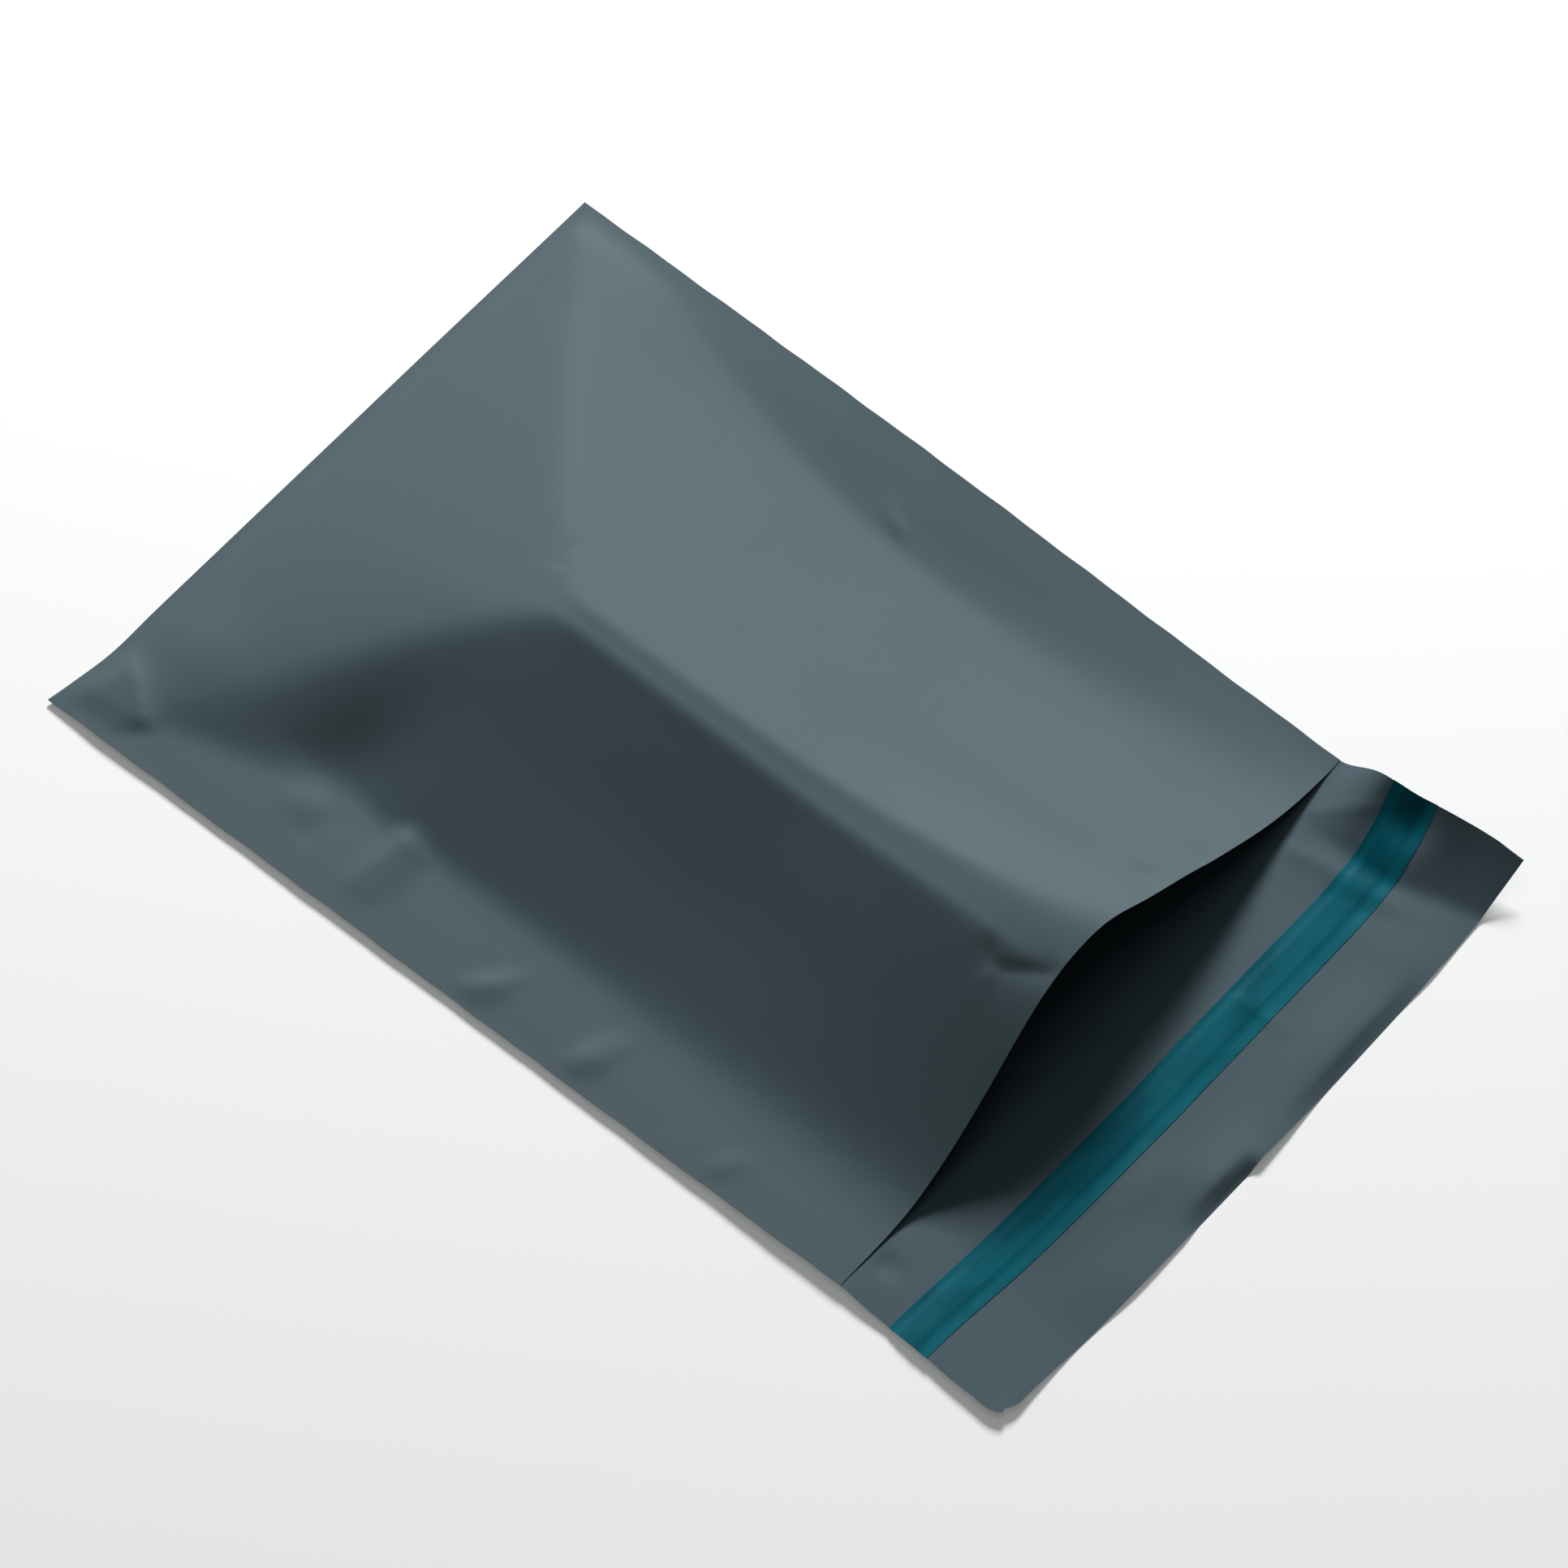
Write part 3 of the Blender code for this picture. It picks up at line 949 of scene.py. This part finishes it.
@dataclass
class Bag:
    """The bag: one web of film, folded over at the bottom and welded along both sides."""

    form: FilmForm
    columns: int = 132
    body_rows: int = 162
    lip_rows: int = 36
    inside: FilmFinish = FilmFinish(
        "grey_film_inside", (0.074, 0.109, 0.129), (0.066, 0.098, 0.116), roughness=0.60, specular=0.05
    )
    outside: FilmFinish = FilmFinish(
        "grey_film_outside", (0.073, 0.107, 0.123), (0.069, 0.101, 0.116), roughness=0.60, specular=0.07
    )

    def web_place(self, row: int) -> tuple[Panel, float]:
        """Tells where a row of the web lies, counted from the lip's free edge.

        Args:
            row: The row's number.

        Returns:
            Its panel, and its distance from the mouth line.
        """
        fold = self.lip_rows + self.body_rows
        pitch = self.form.body_length / self.body_rows
        if row < self.lip_rows:
            return Panel.LIP, self.form.lip_length * (row / self.lip_rows - 1)
        if row <= fold:
            return Panel.BACK, pitch * (row - self.lip_rows)
        return Panel.FRONT, pitch * (fold + 1 + self.body_rows - row)

    def web_point(self, column: int, row: int) -> Vector:
        """Places a point of the folded web.

        Args:
            column: Its column, counted from the left seam.
            row: Its row, counted from the lip's free edge.

        Returns:
            The point in the row's frame.
        """
        form = self.form
        places = {Panel.LIP: form.lip_point, Panel.BACK: form.back_point, Panel.FRONT: form.front_point}
        panel, along = self.web_place(row)
        u = 2 * column / self.columns - 1
        point = places[panel](u, along)
        point.x += form.waver(u, along)
        return form.placed(point)

    def web(self) -> bmesh.types.BMesh:
        """Lays out the flat web, folds it into the bag and welds its sides.

        Returns:
            The bag's inner face as an open sheet, whose normals point into the bag.
        """
        bm = bmesh.new()
        rows = self.lip_rows + 2 * self.body_rows + 1
        bmesh.ops.create_grid(bm, x_segments=self.columns, y_segments=rows, size=0.5)
        place: dict[tuple[int, int], bmesh.types.BMVert] = {}
        for vert in bm.verts:
            place[round((vert.co.x + 0.5) * self.columns), round((vert.co.y + 0.5) * rows)] = vert
        for (column, row), vert in place.items():
            vert.co = self.web_point(column, row)
        mouth, fold = self.lip_rows, self.lip_rows + self.body_rows
        for column in (0, self.columns):
            chain = [*range(mouth, fold), *range(fold + 1, rows)]
            edges = [bm.edges.get((place[column, r], place[column, r + 1])) for r in chain]
            bmesh.ops.bridge_loops(bm, edges=edges)
        bmesh.ops.recalc_face_normals(bm, faces=bm.faces)
        bm.normal_update()
        if place[0, 0].link_faces[0].normal.z < 0:
            bmesh.ops.reverse_faces(bm, faces=bm.faces)
        return bm

    def build(self) -> bpy.types.Object:
        """Makes the bag as one piece, with its own finish on each face of the film.

        Returns:
            The bag's object.
        """
        bm = self.web()
        thicken(bm, self.form.film, second_finish=True)
        bag = new_piece("film_bag", bm, self.inside.build(), self.outside.build())
        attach(bag, "root")
        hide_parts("bag")
        return bag


@dataclass
class SealingStrip:
    """What closes the bag: a bead of hot-melt adhesive across the lip, under a peel-off liner."""

    form: FilmForm
    columns: int = 176
    bead_rows: int = 6
    liner_rows: int = 18
    inner_edge: Course = Course(
        (
            (-1.0, 19.7), (-0.5, 22.0), (-0.1, 22.8), (0.1, 22.8), (0.4, 23.2), (0.68, 23.6), (0.86, 22.4),
            (1.0, 19.6),
        )
    )
    width: float = 15.3 * MM
    thickness: float = 0.06 * MM
    bead_width: float = 7 * MM
    bead_from_edge: float = 3.4 * MM
    bead_thickness: float = 0.15 * MM
    bead_end_margin: float = 4 * MM
    bead_shoulder: float = 1.4 * MM
    clearance: float = 0.12 * MM
    liner_finish: LinerFinish = LinerFinish(
        "teal_release_film", (0.0028, 0.101, 0.138), (0.0011, 0.075, 0.107), (0.0045, 0.115, 0.152),
        roughness=0.45,
    )
    glue_finish: AdhesiveFinish = AdhesiveFinish("hot_melt_adhesive", (0.42, 0.37, 0.26), 0.28)

    def sheet(
        self, edges: tuple[float, ...], half_span: float, top: Callable[[float], float]
    ) -> bmesh.types.BMesh:
        """Lays a strip across the lip, as an open sheet with a UV map in metres.

        Args:
            edges: The strip's rows, as distances from the liner's inner edge.
            half_span: How far it reaches to each side, as a share of the lip's half width.
            top: Its upper face's height above the film, by the distance from the liner's inner edge.

        Returns:
            The strip's upper face.
        """
        bm = bmesh.new()
        rows = len(edges) - 1
        bmesh.ops.create_grid(bm, x_segments=self.columns, y_segments=rows, size=0.5)
        flat: dict[bmesh.types.BMVert, tuple[float, float]] = {}
        for vert in bm.verts:
            u = 2 * vert.co.x * half_span
            from_edge = edges[round((0.5 - vert.co.y) * rows)]
            along = -(self.inner_edge.at(u) * MM + from_edge)
            flat[vert] = (u * self.form.half, from_edge)
            vert.co = self.form.above_lip(u, along, top(from_edge))
        layer = bm.loops.layers.uv.new("strip")
        for face in bm.faces:
            for loop in face.loops:
                loop[layer].uv = flat[loop.vert]
        bm.normal_update()
        return bm

    def build_adhesive(self) -> bpy.types.Object:
        """Makes the adhesive bead, which stops short of the lip's side edges.

        Returns:
            The bead's object.
        """
        rows = self.bead_rows
        edges = tuple(self.bead_from_edge + self.bead_width * k / rows for k in range(rows + 1))
        span = 1 - self.bead_end_margin / self.form.half
        bm = self.sheet(edges, span, lambda _: self.clearance + self.bead_thickness)
        thicken(bm, self.bead_thickness)
        bead = new_piece("adhesive_bead", bm, self.glue_finish.build())
        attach(bead, "root")
        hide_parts("adhesive_strip")
        return bead

    def liner_top(self, from_edge: float) -> float:
        """Gives the liner's height above the film: up over the bead, and down on the film beside it.

        Args:
            from_edge: The distance from the liner's inner edge.

        Returns:
            The height of its upper face.
        """
        low, high, side = self.bead_from_edge, self.bead_from_edge + self.bead_width, self.bead_shoulder
        over = ease((from_edge - low + side) / side) * ease((high + side - from_edge) / side)
        return self.thickness + self.clearance + (self.clearance + self.bead_thickness) * over

    def build_liner(self) -> bpy.types.Object:
        """Makes the peel-off liner, across the full width of the lip.

        Returns:
            The liner's object.
        """
        rows = self.liner_rows
        bm = self.sheet(tuple(self.width * k / rows for k in range(rows + 1)), 1.0, self.liner_top)
        thicken(bm, self.thickness)
        liner = new_piece("peel_off_liner", bm, self.liner_finish.build(self))
        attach(liner, "root")
        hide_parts("release_liner")
        return liner


def thicken(bm: bmesh.types.BMesh, thickness: float, second_finish: bool = False) -> None:
    """Gives an open sheet its thickness, behind its faces.

    Args:
        bm: The sheet, which becomes a closed solid.
        thickness: Its thickness.
        second_finish: Whether its back and its cut edges take the piece's second material.
    """
    front = set(bm.faces)
    bmesh.ops.solidify(bm, geom=bm.faces[:], thickness=thickness)
    if second_finish:
        for face in bm.faces:
            face.material_index = 0 if face in front else 1
    bm.normal_update()


def new_piece(name: str, bm: bmesh.types.BMesh, *finishes: bpy.types.Material) -> bpy.types.Object:
    """Makes an object of a mesh that already stands in place, shaded smooth but for its cut edges.

    Args:
        name: The piece's name.
        bm: Its mesh, which is freed.
        finishes: Its materials.

    Returns:
        The object, linked to the scene.
    """
    mesh = bpy.data.meshes.new(name)
    bm.to_mesh(mesh)
    bm.free()
    mesh.shade_smooth()
    mesh.set_sharp_from_angle(angle=SHARP_EDGE)
    for finish in finishes:
        mesh.materials.append(finish)
    obj = bpy.data.objects.new(name, mesh)
    bpy.context.scene.collection.objects.link(obj)
    return obj


@dataclass(frozen=True)
class SoftLight:
    """A rectangular soft light that shines at the bag."""

    name: str
    toward: tuple[float, float, float]
    distance: float
    size: tuple[float, float]
    level: float
    color: Color

    def add(self) -> None:
        """Adds the light, with the power that gives its level on a flat surface at the origin."""
        light = bpy.data.lights.new(self.name, "AREA")
        light.shape = "RECTANGLE"
        light.size, light.size_y = self.size
        aim = Vector(self.toward).normalized()
        light.energy = self.level * (math.pi * self.distance) ** 2 / aim.z
        light.color = self.color
        lamp = bpy.data.objects.new(self.name, light)
        bpy.context.scene.collection.objects.link(lamp)
        lamp.location = aim * self.distance
        lamp.rotation_euler = aim.to_track_quat("Z", "Y").to_euler()


@dataclass
class Studio:
    """The white table, the soft lights and the camera at the photograph's viewing angle."""

    photo_pixels: float = 1932.0
    focal_pixels: float = 8000.0
    sensor: float = 36.0
    azimuth: float = -49.26
    elevation: float = 59.56
    distance: float = 1.996
    target: tuple[float, float, float] = (0.0014, -0.00015, 0.0)
    floor_side: float = 8.0
    floor_glow: float = 0.175
    floor_roughness: float = 0.8
    floor_clouds: float = 3.0
    floor_shades: tuple[Color, Color] = ((0.89, 0.89, 0.89), (0.91, 0.91, 0.91))
    window: SoftLight = SoftLight(
        "window", toward=(0.70, 0.50, 0.51), distance=2.6, size=(0.65, 0.65), level=0.89,
        color=(1.0, 1.0, 1.0),
    )
    ceiling: SoftLight = SoftLight(
        "ceiling_panel", toward=(0.05, 0.10, 0.98), distance=2.2, size=(1.5, 1.5), level=0.10,
        color=(0.85, 1.0, 0.95),
    )
    fill: float = 0.05

    def add_table(self) -> None:
        """Adds the plain white table top, which glows a little and isn't part of the object."""
        bm = bmesh.new()
        bmesh.ops.create_grid(bm, x_segments=1, y_segments=1, size=self.floor_side / 2)
        bench = Bench("white_table")
        cloud = bench.noise(bench.coordinates(), self.floor_clouds)
        bench.set(Base_Color=bench.blend(cloud, *self.floor_shades), Roughness=self.floor_roughness)
        seen = bench.node("ShaderNodeLightPath", output="Is Camera Ray")
        seen = seen + bench.node("ShaderNodeLightPath", output="Is Glossy Ray")
        white = bench.node("ShaderNodeEmission", None, {"Color": (1.0, 1.0, 1.0), "Strength": 1.0})
        matt = Wire(bench, bench.shader.outputs[0])
        mixed = bench.node("ShaderNodeMixShader", None, {0: seen * self.floor_glow, 1: matt, 2: white})
        bench.feed(bench.tree.nodes["Material Output"].inputs["Surface"], mixed)
        new_piece("table_top", bm, bench.material)

    def add_world(self) -> None:
        """Adds the room's weak, even light."""
        world = bpy.data.worlds.new("room")
        world.use_nodes = True
        background = world.node_tree.nodes["Background"]
        background.inputs["Color"].default_value = (1.0, 1.0, 1.0, 1.0)
        background.inputs["Strength"].default_value = self.fill
        bpy.context.scene.world = world

    def add_camera(self) -> None:
        """Adds the camera and makes it the scene's own."""
        data = bpy.data.cameras.new("camera")
        data.sensor_width = self.sensor
        data.lens = self.sensor * self.focal_pixels / self.photo_pixels
        camera = bpy.data.objects.new("camera", data)
        bpy.context.scene.collection.objects.link(camera)
        a, e = math.radians(self.azimuth), math.radians(self.elevation)
        back = Vector((math.sin(a) * math.cos(e), -math.cos(a) * math.cos(e), math.sin(e)))
        camera.location = Vector(self.target) + back * self.distance
        camera.rotation_euler = back.to_track_quat("Z", "Y").to_euler()
        bpy.context.scene.camera = camera

    def build(self) -> None:
        """Sets the whole studio up."""
        bpy.context.scene.view_settings.view_transform = "Standard"
        self.add_table()
        self.window.add()
        self.ceiling.add()
        self.add_world()
        self.add_camera()


def main() -> None:
    """Loads the frame, builds each piece round it and logs each piece's face count."""
    logging.basicConfig(level=logging.INFO, format="%(name)s: %(message)s")
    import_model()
    form = FilmForm()
    strip = SealingStrip(form)
    for piece in (Bag(form).build(), strip.build_adhesive(), strip.build_liner()):
        LOG.info("%s has %d faces", piece.name, len(piece.data.polygons))
    Studio().build()


if __name__ == "__main__":
    main()
